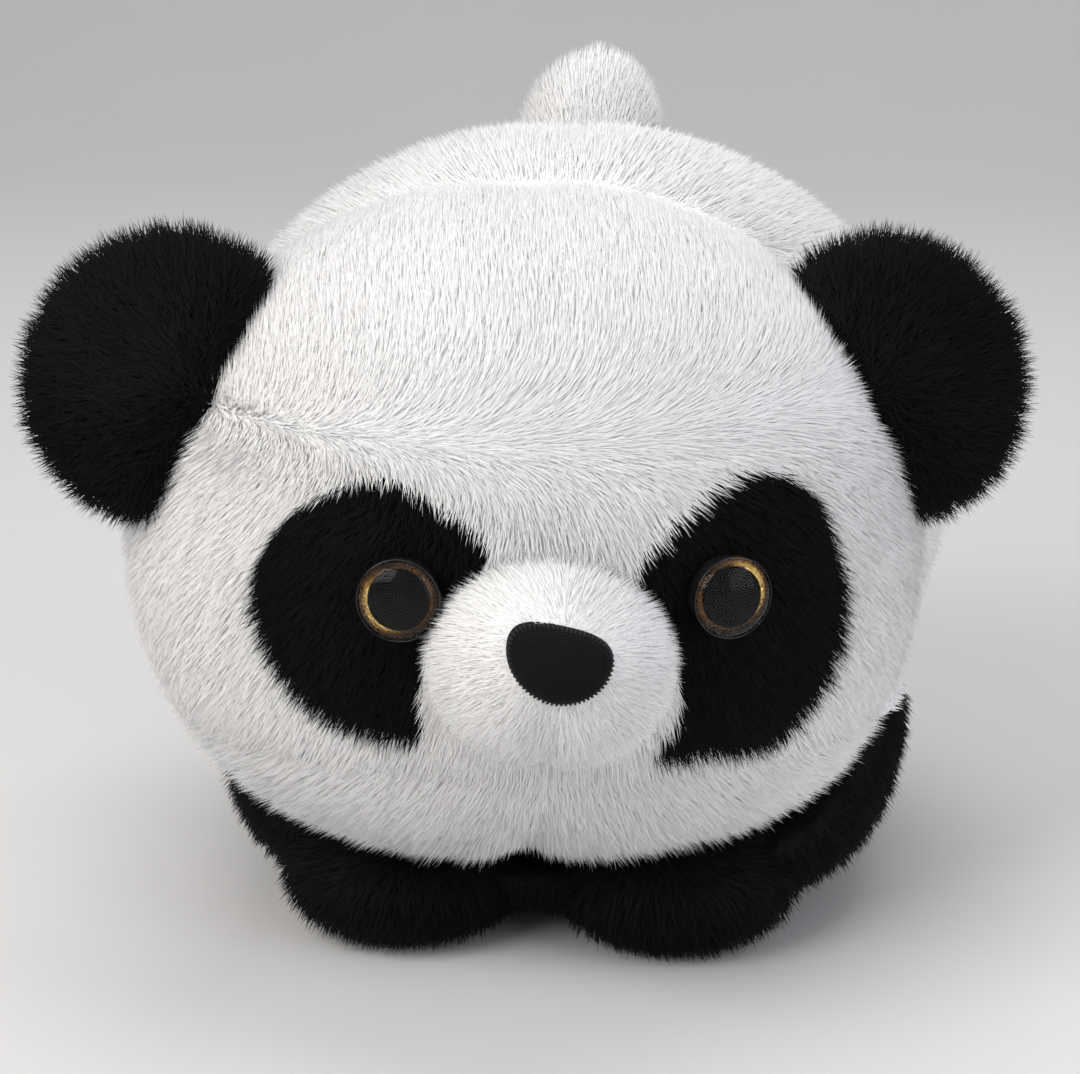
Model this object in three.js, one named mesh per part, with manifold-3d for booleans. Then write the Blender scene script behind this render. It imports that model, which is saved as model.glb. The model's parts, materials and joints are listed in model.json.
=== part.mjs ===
// Plush panda: a ball-shaped head and a ball-shaped body of sewn plush cloth, standing on four stub legs.
// Millimetres, +Z up. The toy faces -Y, so its own left side is +X.
// Every cloth piece is a shell as thick as its backing and its pile, laid round a core of stuffing.

import * as THREE from "three";
import { mergeVertices } from "three/addons/utils/BufferGeometryUtils.js";
import Module from "manifold-3d";

const wasm = await Module();
wasm.setup();

// Driving dimensions

const gap = 0.3; // between pieces that touch on the real toy
const slideGap = 2.4; // between pieces that slide over each other as the head moves
const cloth = 6; // backing and pile of the head and body
const thinCloth = 4; // backing and short pile of the legs, muzzle, ears and tail
const roundSteps = 18; // facets round a large ball
const smallSteps = 12; // facets round a small ball

const headCentre = [-4, 0, 113];
const headHalf = [103.5, 87, 88];
const headTurn = 12; // degrees, the head looks a little to the toy's left
const headRoll = 1.5; // degrees, and leans a little to that side
const headRoom = [111, 96, 93]; // the hollow in the body that the turning head needs

const bodyCentre = [0, 87, 107];
const bodyHalf = [109, 101, 97];
const bellyCentre = [2, 55, 50];
const bellyHalf = [99, 102, 46];
const blackTop = 52; // the white back meets the black underside here
const chestBack = 52; // the chest panel meets the belly panel here

const neckInner = 72; // the neck's wad of stuffing is a cap between two balls about the head's centre
const neckOuter = 79.5;
const neckAngle = 33; // degrees from the cap's middle to its rim
const headOpening = 48; // degrees, half angle of the opening at the back of the head
const neckPlug = 31; // degrees, half angle of the body's stuffing where it enters the head

const foreheadEdge = 33; // above the head's centre, the seam under the forehead panel
const chinEdge = -46; // below the head's centre, the seam over the chin panels

const patchOutline = [
  [17, 10], [27, 22], [44, 29], [60, 22], [70, 4], [70, -14],
  [62, -29], [48, -38], [30, -38], [30, -20], [22, -4],
];

const eyeSide = 39;
const eyeUp = 2;
const eyeOut = 15; // degrees that each eye looks outwards
const eyeRadius = 10;
const pupilRadius = 6.9;
const stemRadius = 2.4;
const washerThick = 1.6;

const muzzleCentre = [-3.4, -84, -13.4];
const muzzleHalf = [31.5, 27, 27];
const muzzleRoll = 6; // degrees that the muzzle is sewn on askew
const noseUp = 8.6; // above the muzzle's centre
const noseWidth = 24;
const noseHeight = 19;
const noseThick = 4.5;

const earCentre = [91.5, -15, 40.5]; // middle of the ear's base seam, on the head
const earUp = [-0.44, 0.213, 0.872]; // along the base seam
const earOut = [0.872, 0.333, 0.359]; // away from the head
const earRadius = 38.5;
const earThick = 13;
const earFrontAngle = 70; // degrees, how far the pinched base opens to the front and to the back
const earBackAngle = 36;

const tailRoot = [-1, 157, 176];
const tailLean = 20; // degrees back from upright
const tailHalf = [20.5, 16, 25];
const tailReach = 17; // from the root to the tail's middle
const tailFrontAngle = 46;
const tailBackAngle = 60;

const frontLegCentre = [38, 1, 17];
const frontLegHalf = [36, 36, 21];
const frontHinge = [38, 30, 17];
const frontRoll = 11; // radius of the rolled root that the front leg bends on
const frontRollLength = 40;
const rearLegCentre = [46, 136, 30];
const rearLegHalf = [34, 35, 35];
const soleThick = 4;
const frontBend = 26; // degrees that the paws can be pressed down, with a little to spare
const rearLegRoom = 2.4; // round the ball-shaped root of a rear leg, so that it can roll

// Colours

const white = { color: 0xf2f0ec, roughness: 0.95, metalness: 0 };
const black = { color: 0x0d0d0f, roughness: 0.95, metalness: 0 };
const fibre = { color: 0xf7f6f2, roughness: 1, metalness: 0 };
const noseBlack = { color: 0x101012, roughness: 0.8, metalness: 0 };
const gold = { color: 0xb08a2e, roughness: 0.35, metalness: 0.8 };
const glossBlack = { color: 0x050505, roughness: 0.15, metalness: 0 };
const clear = { color: 0xdfe6ea, roughness: 0.05, metalness: 0, transparent: true, opacity: 0.35 };
const grey = { color: 0x8a8a8c, roughness: 0.5, metalness: 0 };

// Solids

const rad = THREE.MathUtils.degToRad;

// A closed geometry as a solid that can be joined and cut.
function solid(geometry) {
  geometry.deleteAttribute("normal");
  geometry.deleteAttribute("uv");
  const merged = mergeVertices(geometry, 1e-4);
  const vertProperties = merged.attributes.position.array;
  const triVerts = new Uint32Array(merged.index.array);
  const made = new wasm.Manifold(new wasm.Mesh({ numProp: 3, vertProperties, triVerts }));
  if (made.volume() > 0) {
    return made;
  }
  return new wasm.Manifold(new wasm.Mesh({ numProp: 3, vertProperties, triVerts: triVerts.reverse() }));
}

function ellipsoid(centre, half, steps = roundSteps, matrix = null) {
  const ball = new THREE.SphereGeometry(1, steps, Math.round(steps * 0.6));
  ball.rotateX(Math.PI / 2);
  ball.scale(...half);
  ball.translate(...centre);
  return solid(matrix ? ball.applyMatrix4(matrix) : ball);
}

function grown(half, by) {
  return half.map((length) => length + by);
}

function slab(low, high) {
  const size = high.map((value, axis) => value - low[axis]);
  const middle = high.map((value, axis) => (value + low[axis]) / 2);
  return solid(new THREE.BoxGeometry(...size).translate(...middle));
}

const far = 400;

function above(z) {
  return slab([-far, -far, z], [far, far, far]);
}

function below(z) {
  return slab([-far, -far, -far], [far, far, z]);
}

// The half space on one side of the middle plane, half a gap away from it.
function sideHalf(side) {
  const low = side > 0 ? gap / 2 : -far;
  const high = side > 0 ? far : -gap / 2;
  return slab([low, -far, -far], [high, far, far]);
}

// A solid of revolution about +Z from pairs of radius and height.
function turned(profile, steps = smallSteps) {
  const points = profile.map(([radius, height]) => new THREE.Vector2(radius, height));
  return new THREE.LatheGeometry(points, steps).rotateX(Math.PI / 2);
}

function disc(radius, low, high) {
  return turned([[0, low], [radius, low], [radius, high], [0, high]]);
}

// A cone from the origin that opens towards +Y.
function rearCone(angle, length) {
  const radius = length * Math.tan(rad(angle));
  const cone = new THREE.LatheGeometry([
    new THREE.Vector2(0, 0),
    new THREE.Vector2(radius, length),
    new THREE.Vector2(0, length),
  ], roundSteps);
  return solid(cone);
}

// A flat outline in X and Z, extruded along Y.
function prism(shape, front, back, steps = 4) {
  const depth = back - front;
  const made = new THREE.ExtrudeGeometry(shape, { depth, bevelEnabled: false, curveSegments: steps });
  made.rotateX(Math.PI / 2);
  made.translate(0, back, 0);
  return solid(made);
}

const toy = new THREE.Group();

function addPiece(group, name, made, look) {
  const mesh = made.getMesh();
  const geometry = new THREE.BufferGeometry();
  geometry.setAttribute("position", new THREE.BufferAttribute(new Float32Array(mesh.vertProperties), 3));
  geometry.setIndex(new THREE.BufferAttribute(new Uint32Array(mesh.triVerts), 1));
  geometry.computeVertexNormals();
  const piece = new THREE.Mesh(geometry, new THREE.MeshStandardMaterial(look));
  piece.name = name;
  group.add(piece);
  return piece;
}

const sides = [["left", 1], ["right", -1]];

// Legs: each is a sewn stub with a flat sole. The front ones lie under the chin and bend at a rolled root.

function frontLegForm(side, inset, grow) {
  const [x, y, z] = frontLegCentre;
  const stub = ellipsoid([side * x, y, z], grown(frontLegHalf, grow - inset), smallSteps);
  const [hingeX, hingeY, hingeZ] = frontHinge;
  const rollRadius = frontRoll + grow - inset;
  const roll = new THREE.CylinderGeometry(rollRadius, rollRadius, frontRollLength - 2 * inset, smallSteps);
  roll.rotateZ(Math.PI / 2);
  roll.translate(side * hingeX, hingeY, hingeZ);
  const front = slab([-far, -far, -far], [far, hingeY + grow, far]);
  return stub.intersect(front).add(solid(roll));
}

function rearLegForm(side, inset, grow) {
  const [x, y, z] = rearLegCentre;
  return ellipsoid([side * x, y, z], grown(rearLegHalf, grow - inset), smallSteps);
}

const headSpace = (grow) => ellipsoid(headCentre, grown(headRoom, grow));

function addLeg(name, form, underHead, side) {
  const group = new THREE.Group();
  const clearOfHead = (made, grow) => (underHead ? made.subtract(headSpace(grow)) : made);
  const outer = clearOfHead(form(side, 0, 0), 1).intersect(above(0));
  const coreRoom = clearOfHead(form(side, thinCloth, gap), 1 + thinCloth - gap);
  const core = clearOfHead(form(side, thinCloth, 0), 1 + thinCloth).intersect(above(soleThick + gap));
  const shell = outer.intersect(above(soleThick + gap)).subtract(coreRoom);
  addPiece(group, name, shell, black);
  addPiece(group, name.replace("leg", "sole"), outer.intersect(below(soleThick)), black);
  addPiece(group, name + "_stuffing", core, fibre);
  toy.add(group);
}

for (const [sideName, side] of sides) {
  addLeg("front_leg_" + sideName, frontLegForm, true, side);
  addLeg("rear_leg_" + sideName, rearLegForm, false, side);
}

// Body: two white back panels, a black chest panel and a black belly panel round the stuffing.

function bodyForm(inset) {
  const back = ellipsoid(bodyCentre, grown(bodyHalf, -inset));
  return back.add(ellipsoid(bellyCentre, grown(bellyHalf, -inset)));
}

// The front leg's form, turned about its hinge.
function frontLegBent(side, grow, angle) {
  const [, hingeY, hingeZ] = frontHinge;
  const still = frontLegForm(side, 0, grow).translate(0, -hingeY, -hingeZ);
  return still.rotate([angle, 0, 0]).translate(0, hingeY, hingeZ);
}

function withoutLegs(made) {
  let left = made;
  for (const [, side] of sides) {
    left = left.subtract(rearLegForm(side, 0, rearLegRoom));
    for (const share of [0, 0.35, 0.7, 1]) {
      left = left.subtract(frontLegBent(side, 3 * gap, share * frontBend));
    }
  }
  return left;
}

const bodyCloth = withoutLegs(bodyForm(0).subtract(bodyForm(cloth)).subtract(headSpace(0)));
const whiteCloth = bodyCloth.intersect(above(blackTop + gap / 2));
const blackCloth = bodyCloth.intersect(below(blackTop - gap / 2));
for (const [sideName, side] of sides) {
  addPiece(toy, "back_panel_" + sideName, whiteCloth.intersect(sideHalf(side)), white);
}
const inFront = slab([-far, -far, -far], [far, chestBack - gap / 2, far]);
const behind = slab([-far, chestBack + gap / 2, -far], [far, far, far]);
addPiece(toy, "chest_panel", blackCloth.intersect(inFront), black);
addPiece(toy, "belly_panel", blackCloth.intersect(behind), black);

const ballAtHead = (radius) => ellipsoid(headCentre, [radius, radius, radius]);
const coneAtHead = (angle) => rearCone(angle, 110).translate(...headCentre);
const plug = coneAtHead(neckPlug).intersect(headSpace(2)).subtract(ballAtHead(neckOuter + slideGap));
const bodyCore = withoutLegs(bodyForm(cloth + gap).subtract(headSpace(0)));
addPiece(toy, "body_stuffing", bodyCore.add(plug), fibre);

// Neck: a cap of stuffing that slides between the head's filling and the body's.

const neckCap = ballAtHead(neckOuter).subtract(ballAtHead(neckInner)).intersect(coneAtHead(neckAngle));
addPiece(toy, "neck_stuffing", neckCap, fibre);

// Head, in its own group about the head's centre.

const head = new THREE.Group();
head.position.set(...headCentre);
head.rotation.set(0, rad(headRoll), rad(headTurn), "ZYX");
toy.add(head);

const middle = [0, 0, 0];
const headForm = (inset, steps = roundSteps) => ellipsoid(middle, grown(headHalf, -inset), steps);
const opening = rearCone(headOpening, 140);

// The black patch behind each eye, grown by a share of its own size.
function patchCut(side, share) {
  const centreX = 46;
  const centreZ = -5;
  const points = patchOutline.map(
    ([x, z]) => new THREE.Vector2(side * (centreX + (x - centreX) * share), centreZ + (z - centreZ) * share),
  );
  const edge = new THREE.SplineCurve([...points, points[0]]).getPoints(30).slice(0, -1);
  return prism(new THREE.Shape(edge), -130, -20);
}

// Where an eye sits: its middle on the head, and the way it looks along the local +Z.
function eyeMatrix(side) {
  const [halfX, halfY, halfZ] = headHalf;
  const front = -halfY * Math.sqrt(1 - (eyeSide / halfX) ** 2 - (eyeUp / halfZ) ** 2);
  const look = new THREE.Vector3(side * Math.sin(rad(eyeOut)), -Math.cos(rad(eyeOut)), 0);
  const across = new THREE.Vector3(0, 0, 1).cross(look).normalize();
  const matrix = new THREE.Matrix4().makeBasis(across, look.clone().cross(across), look);
  return matrix.setPosition(side * eyeSide, front, eyeUp);
}

const eyeHeights = { plate: 0.6, iris: 2.5, pupil: 3.6, dome: 4.2, top: 8.6, washer: -11.2, stemEnd: -14.5 };

function eyeCut(side, radius, low, high = 1) {
  return solid(disc(radius, low, high).applyMatrix4(eyeMatrix(side)));
}

const headCloth = headForm(0).subtract(headForm(cloth)).subtract(opening);
const lowerCloth = headCloth.intersect(above(chinEdge + gap / 2)).intersect(below(foreheadEdge - gap / 2));
addPiece(head, "forehead_panel", headCloth.intersect(above(foreheadEdge + gap / 2)), white);
for (const [sideName, side] of sides) {
  const half = sideHalf(side);
  addPiece(head, "cheek_" + sideName, lowerCloth.intersect(half).subtract(patchCut(side, 1.02)), white);
  addPiece(head, "chin_" + sideName, headCloth.intersect(below(chinEdge - gap / 2)).intersect(half), white);
  const patch = lowerCloth.intersect(patchCut(side, 1)).subtract(eyeCut(side, stemRadius + gap, -20));
  addPiece(head, "eye_patch_" + sideName, patch, black);
}

const neckBall = ellipsoid(middle, Array(3).fill(neckInner - slideGap));
let headCore = headForm(cloth + gap).subtract(opening.subtract(neckBall));
for (const [, side] of sides) {
  headCore = headCore.subtract(eyeCut(side, eyeRadius, -16));
}
addPiece(head, "head_stuffing", headCore, fibre);

// Eyes: a clear dome over a black pupil and a glitter iris, on a black plate whose stem goes through
// the cloth and is held inside by a washer.

function addEye(sideName, side) {
  const eye = new THREE.Group();
  eye.applyMatrix4(eyeMatrix(side));
  head.add(eye);
  const { plate, iris, pupil, dome, top, washer, stemEnd } = eyeHeights;
  const plateTop = iris - gap;
  const dish = [[0, stemEnd], [stemRadius, stemEnd], [stemRadius, plate], [eyeRadius - 0.4, plate]];
  const stem = solid(turned([...dish, [eyeRadius - 0.4, plateTop], [0, plateTop]]));
  addPiece(eye, "eye_stem_" + sideName, stem, glossBlack);
  addPiece(eye, "eye_iris_" + sideName, solid(disc(eyeRadius - 1, iris, pupil - gap)), gold);
  addPiece(eye, "eye_pupil_" + sideName, solid(disc(pupilRadius, pupil, dome + 0.6)), glossBlack);
  const crown = [];
  for (let step = 0; step <= 6; step += 1) {
    const angle = (step / 6) * (Math.PI / 2);
    crown.push([eyeRadius * Math.cos(angle), dome + (top - dome) * Math.sin(angle)]);
  }
  crown[6][0] = 0;
  const recess = [[0, dome + 0.9], [pupilRadius + gap, dome + 0.9], [pupilRadius + gap, pupil]];
  const rim = [[eyeRadius - 1 + gap, pupil], [eyeRadius - 1 + gap, iris], [eyeRadius, iris]];
  addPiece(eye, "eye_lens_" + sideName, solid(turned([...recess, ...rim, ...crown])), clear);
  const inside = stemRadius + gap;
  const outside = eyeRadius - 1;
  const washerTop = washer + washerThick;
  const under = [[inside, washer], [outside, washer]];
  const over = [[outside, washerTop], [inside, washerTop]];
  const ring = [...under, ...over, [inside, washer]];
  addPiece(eye, "eye_washer_" + sideName, solid(turned(ring)), grey);
}

for (const [sideName, side] of sides) {
  addEye(sideName, side);
}

// Muzzle: two halves joined by the seam below the nose, over a ball of stuffing, sewn onto the face.

const muzzle = new THREE.Group();
muzzle.position.set(...muzzleCentre);
muzzle.rotation.y = rad(muzzleRoll);
head.add(muzzle);
muzzle.updateMatrix();
const intoMuzzle = muzzle.matrix.clone().invert();
const faceInMuzzle = (grow) => ellipsoid(middle, grown(headHalf, grow), roundSteps, intoMuzzle);
const muzzleForm = (grow) => ellipsoid(middle, grown(muzzleHalf, grow), smallSteps);

const rightEyeRoom = eyeCut(-1, eyeRadius + 2 * gap, -2, 2 * eyeRadius).transform(intoMuzzle.elements);
const muzzleBall = muzzleForm(0).subtract(muzzleForm(-thinCloth));
const muzzleCloth = muzzleBall.subtract(faceInMuzzle(gap)).subtract(rightEyeRoom);
for (const [sideName, side] of sides) {
  addPiece(muzzle, "muzzle_" + sideName, muzzleCloth.intersect(sideHalf(side)), white);
}
addPiece(muzzle, "muzzle_stuffing", muzzleForm(-thinCloth - gap).subtract(faceInMuzzle(gap)), fibre);

// Nose: a rounded triangle of black knit drawn over a small pad.

function noseCut(share) {
  const halfWidth = (noseWidth / 2) * share;
  const halfHeight = (noseHeight / 2) * share;
  const shape = new THREE.Shape();
  const low = noseUp - halfHeight;
  const high = noseUp + halfHeight;
  shape.moveTo(0, low);
  for (const [side, from, to] of [[1, low, high], [-1, high, low]]) {
    const edge = side * halfWidth;
    const soft = noseUp + (side > 0 ? -0.5 : 0.85) * halfHeight;
    const firm = noseUp + (side > 0 ? 0.85 : -0.5) * halfHeight;
    shape.bezierCurveTo(edge * (side > 0 ? 0.45 : 0.6), from, edge, soft, edge, noseUp + 0.25 * halfHeight);
    shape.bezierCurveTo(edge, firm, edge * (side > 0 ? 0.6 : 0.45), to, 0, to);
  }
  return prism(shape, -60, -8, 5);
}

const nosePad = noseCut(0.8).intersect(muzzleForm(noseThick - 1.6)).subtract(muzzleForm(gap));
const nosePadRoom = noseCut(0.84).intersect(muzzleForm(noseThick - 1.6 + gap));
const noseCover = noseCut(1).intersect(muzzleForm(noseThick)).subtract(muzzleForm(gap)).subtract(nosePadRoom);
addPiece(muzzle, "nose_cover", noseCover, noseBlack);
addPiece(muzzle, "nose_pad", nosePad, fibre);

// A wedge from the Z axis that opens towards side * X, by one angle to the front and one to the back.
function rootWedge(side, frontAngle, backAngle) {
  const reach = 160;
  const edge = [[0, 0], [Math.cos(rad(frontAngle)), -Math.sin(rad(frontAngle))], [1.6, 0]];
  edge.push([Math.cos(rad(backAngle)), Math.sin(rad(backAngle))]);
  const points = edge.map(([x, y]) => new THREE.Vector2(side * x * reach, y * reach));
  const made = new THREE.ExtrudeGeometry(new THREE.Shape(points), { depth: 2 * reach, bevelEnabled: false });
  return solid(made.translate(0, 0, -reach));
}

// Ears: a puffed disc with a front and a back of cloth, pinched along its base seam, where it bends.

function addEar(sideName, side) {
  const up = new THREE.Vector3(side * earUp[0], earUp[1], earUp[2]).normalize();
  const out = new THREE.Vector3(earOut[0], side * earOut[1], side * earOut[2]);
  const along = out.addScaledVector(up, -out.dot(up)).normalize();
  const placed = new THREE.Matrix4().makeBasis(along, up.clone().cross(along), up);
  placed.setPosition(side * earCentre[0], earCentre[1], earCentre[2]);
  const ear = new THREE.Group();
  ear.applyMatrix4(placed);
  head.add(ear);
  const headHere = (grow) => ellipsoid(middle, grown(headHalf, grow), roundSteps, placed.clone().invert());
  const wedge = rootWedge(side, earFrontAngle, earBackAngle);
  const puff = (inset) => ellipsoid(middle, grown([earRadius, earThick, earRadius], -inset), smallSteps);
  const ready = (made, grow) => made.subtract(headHere(grow)).intersect(wedge);
  const core = ready(puff(thinCloth + gap), 1 + thinCloth + gap);
  const skin = ready(puff(0), 1).subtract(puff(thinCloth));
  const half = (low, high) => slab([-far, low, -far], [far, high, far]);
  addPiece(ear, "ear_front_" + sideName, skin.intersect(half(-far, -gap / 2)), black);
  addPiece(ear, "ear_back_" + sideName, skin.intersect(half(gap / 2, far)), black);
  addPiece(ear, "ear_stuffing_" + sideName, core, fibre);
}

for (const [sideName, side] of sides) {
  addEar(sideName, side);
}

// Tail: two white halves round a core, standing up from the rear, pinched at the root like the ears.

const tail = new THREE.Group();
tail.position.set(...tailRoot);
tail.rotation.x = rad(-tailLean);
toy.add(tail);
tail.updateMatrix();
const bodyInTail = ellipsoid(bodyCentre, grown(bodyHalf, 1), roundSteps, tail.matrix.clone().invert());
const upright = new THREE.Matrix4().makeRotationY(-Math.PI / 2);
const tailWedge = rootWedge(1, tailFrontAngle, tailBackAngle).transform(upright.elements);
const tailForm = (inset) => ellipsoid([0, 0, tailReach], grown(tailHalf, -inset), smallSteps);
const tailSkin = tailForm(0).subtract(tailForm(thinCloth)).subtract(bodyInTail).intersect(tailWedge);
for (const [sideName, side] of sides) {
  addPiece(tail, "tail_" + sideName, tailSkin.intersect(sideHalf(side)), white);
}
addPiece(tail, "tail_stuffing", tailForm(thinCloth + gap).subtract(bodyInTail).intersect(tailWedge), fibre);

// The origin is the middle of the toy's footprint, on the surface it stands on.

toy.updateMatrixWorld(true);
const whole = new THREE.Box3().setFromObject(toy, true);
const centreOf = whole.getCenter(new THREE.Vector3());
toy.position.set(-centreOf.x, -centreOf.y, -whole.min.z);

export default toy;
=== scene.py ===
import bpy
import bmesh
import json
import math
import numpy as np
from mathutils import Matrix, Vector


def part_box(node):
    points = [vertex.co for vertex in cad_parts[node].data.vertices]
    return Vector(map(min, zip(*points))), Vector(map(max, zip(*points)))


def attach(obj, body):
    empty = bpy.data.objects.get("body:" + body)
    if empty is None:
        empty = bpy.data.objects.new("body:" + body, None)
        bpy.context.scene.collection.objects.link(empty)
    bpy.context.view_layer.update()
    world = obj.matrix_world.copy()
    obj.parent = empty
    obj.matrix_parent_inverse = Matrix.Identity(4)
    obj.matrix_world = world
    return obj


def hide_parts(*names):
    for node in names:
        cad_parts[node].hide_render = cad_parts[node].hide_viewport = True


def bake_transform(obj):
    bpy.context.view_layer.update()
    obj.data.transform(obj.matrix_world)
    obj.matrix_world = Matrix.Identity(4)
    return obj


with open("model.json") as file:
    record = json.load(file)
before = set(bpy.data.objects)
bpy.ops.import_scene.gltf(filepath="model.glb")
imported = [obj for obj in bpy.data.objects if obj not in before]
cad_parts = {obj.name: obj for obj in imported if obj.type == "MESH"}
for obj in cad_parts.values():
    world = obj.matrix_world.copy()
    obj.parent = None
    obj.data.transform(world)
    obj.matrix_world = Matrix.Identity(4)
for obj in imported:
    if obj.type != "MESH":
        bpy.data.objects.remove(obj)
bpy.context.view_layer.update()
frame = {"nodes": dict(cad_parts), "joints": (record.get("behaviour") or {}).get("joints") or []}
mm = 0.001
sides = (("left", 1), ("right", -1))
print("frame loaded,", len(frame["nodes"]), "nodes")

# Where things are: the part's own millimetres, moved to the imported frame
joints = {joint["name"]: joint for joint in frame["joints"]}
headCentre = Vector(joints["head_turn"]["pos_m"])
headMiddle = (-4, 0, 113)
home = headCentre - Vector(headMiddle) * mm


def placed(x, y, z):
    return home + Vector((x, y, z)) * mm


headTurn = {"turn": 12.0, "lean": 1.5}
headPose = (
    Matrix.Translation(headCentre)
    @ Matrix.Rotation(math.radians(headTurn["turn"]), 4, "Z")
    @ Matrix.Rotation(math.radians(headTurn["lean"]), 4, "Y")
    @ Matrix.Scale(mm, 4)
)
bodyPose = Matrix.Translation(home) @ Matrix.Scale(mm, 4)

# Camera
cameraSpec = {"azimuth": 5.0, "elevation": 15.0, "distance": 0.9, "focal": 115.4}


def addCamera(spec):
    azimuth = math.radians(spec["azimuth"])
    elevation = math.radians(spec["elevation"])
    level = math.cos(elevation)
    back = Vector((math.sin(azimuth) * level, -math.cos(azimuth) * level, math.sin(elevation)))
    camera = bpy.data.objects.new("camera", bpy.data.cameras.new("camera"))
    bpy.context.scene.collection.objects.link(camera)
    camera.location = placed(0, 0, 108) + back * spec["distance"]
    camera.rotation_euler = back.to_track_quat("Z", "Y").to_euler()
    camera.data.lens = spec["focal"]
    camera.data.sensor_width = 36
    camera.data.sensor_fit = "HORIZONTAL"
    bpy.context.scene.camera = camera


addCamera(cameraSpec)


# Materials
def makeMaterial(name, **values):
    material = bpy.data.materials.new(name)
    material.use_nodes = True
    nodes = material.node_tree.nodes
    shader = nodes["Principled BSDF"]
    for socket, value in values.items():
        shader.inputs[socket.replace("_", " ")].default_value = value
    return material, nodes, material.node_tree.links, shader


def addNoise(nodes, links, source, scale, detail=3.0, roughness=0.5):
    noiseNode = nodes.new("ShaderNodeTexNoise")
    noiseNode.inputs["Scale"].default_value = scale
    noiseNode.inputs["Detail"].default_value = detail
    noiseNode.inputs["Roughness"].default_value = roughness
    links.new(source, noiseNode.inputs["Vector"])
    return noiseNode.outputs["Fac"]


def addRamp(nodes, links, source, stops):
    ramp = nodes.new("ShaderNodeValToRGB")
    while len(ramp.color_ramp.elements) < len(stops):
        ramp.color_ramp.elements.new(0.5)
    for element, (place, colour) in zip(ramp.color_ramp.elements, stops):
        element.position = place
        element.color = (*colour, 1)
    links.new(source, ramp.inputs["Fac"])
    return ramp.outputs["Color"]


def addMix(nodes, links, kind, share, first, second):
    mix = nodes.new("ShaderNodeMix")
    mix.data_type = "RGBA"
    mix.blend_type = kind
    mix.inputs["Factor"].default_value = share
    links.new(first, mix.inputs[6])
    links.new(second, mix.inputs[7])
    return mix.outputs[2]


def addBump(nodes, links, shader, height, strength, distance):
    bump = nodes.new("ShaderNodeBump")
    bump.inputs["Strength"].default_value = strength
    bump.inputs["Distance"].default_value = distance
    links.new(height, bump.inputs["Height"])
    links.new(bump.outputs["Normal"], shader.inputs["Normal"])


def addRange(nodes, links, source, low, high, target):
    scaled = nodes.new("ShaderNodeMapRange")
    scaled.inputs["To Min"].default_value = low
    scaled.inputs["To Max"].default_value = high
    links.new(source, scaled.inputs["Value"])
    links.new(scaled.outputs["Result"], target)


# The pile: each fibre has its own shade, over broad soft patches where the pile lies differently
def pileMaterial(name, dark, light, patchDark, patchLight, **values):
    material, nodes, links, shader = makeMaterial(name, **values)
    place = nodes.new("ShaderNodeTexCoord").outputs["Object"]
    fibre = nodes.new("ShaderNodeAttribute")
    fibre.attribute_name = "shade"
    fibreColour = addRamp(nodes, links, fibre.outputs["Fac"], [(0.0, dark), (1.0, light)])
    broad = addNoise(nodes, links, place, 26, 3)
    patches = addRamp(nodes, links, broad, [(0.3, patchDark), (0.7, patchLight)])
    links.new(addMix(nodes, links, "MULTIPLY", 1.0, fibreColour, patches), shader.inputs["Base Color"])
    return material


# The cloth under the pile: a knitted backing
def backingMaterial(name, dark, light, **values):
    material, nodes, links, shader = makeMaterial(name, **values)
    place = nodes.new("ShaderNodeTexCoord").outputs["Object"]
    yarn = addNoise(nodes, links, place, 320, 4, 0.6)
    links.new(addRamp(nodes, links, yarn, [(0.25, dark), (0.75, light)]), shader.inputs["Base Color"])
    knit = nodes.new("ShaderNodeTexVoronoi")
    knit.inputs["Scale"].default_value = 1400
    links.new(place, knit.inputs["Vector"])
    addRange(nodes, links, knit.outputs["Distance"], 0.75, 0.98, shader.inputs["Roughness"])
    addBump(nodes, links, shader, knit.outputs["Distance"], 0.4, 0.0003)
    return material


whitePile = pileMaterial(
    "whitePile", (0.91, 0.905, 0.895), (0.98, 0.977, 0.972), (0.965, 0.96, 0.955), (1.0, 1.0, 1.0),
    Roughness=0.95, Sheen_Weight=0.55, Sheen_Roughness=0.5, Specular_IOR_Level=0.2,
)
blackPile = pileMaterial(
    "blackPile", (0.0018, 0.0018, 0.002), (0.0095, 0.009, 0.0095), (0.6, 0.6, 0.65), (1.0, 1.0, 1.0),
    Roughness=0.75, Sheen_Weight=0.01, Sheen_Roughness=0.35, Specular_IOR_Level=0.1,
)
whiteBacking = backingMaterial("whiteBacking", (0.92, 0.915, 0.905), (0.97, 0.965, 0.96))
blackBacking = backingMaterial(
    "blackBacking", (0.003, 0.003, 0.0035), (0.007, 0.007, 0.0075), Specular_IOR_Level=0.1,
)


def fillingMaterial():
    material, nodes, links, shader = makeMaterial("filling", Sheen_Weight=0.2)
    place = nodes.new("ShaderNodeTexCoord").outputs["Object"]
    fluff = addNoise(nodes, links, place, 260, 6, 0.7)
    colour = addRamp(nodes, links, fluff, [(0.3, (0.78, 0.78, 0.77)), (0.7, (0.95, 0.95, 0.93))])
    links.new(colour, shader.inputs["Base Color"])
    addRange(nodes, links, fluff, 0.85, 1.0, shader.inputs["Roughness"])
    addBump(nodes, links, shader, fluff, 0.6, 0.001)
    return material


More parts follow.
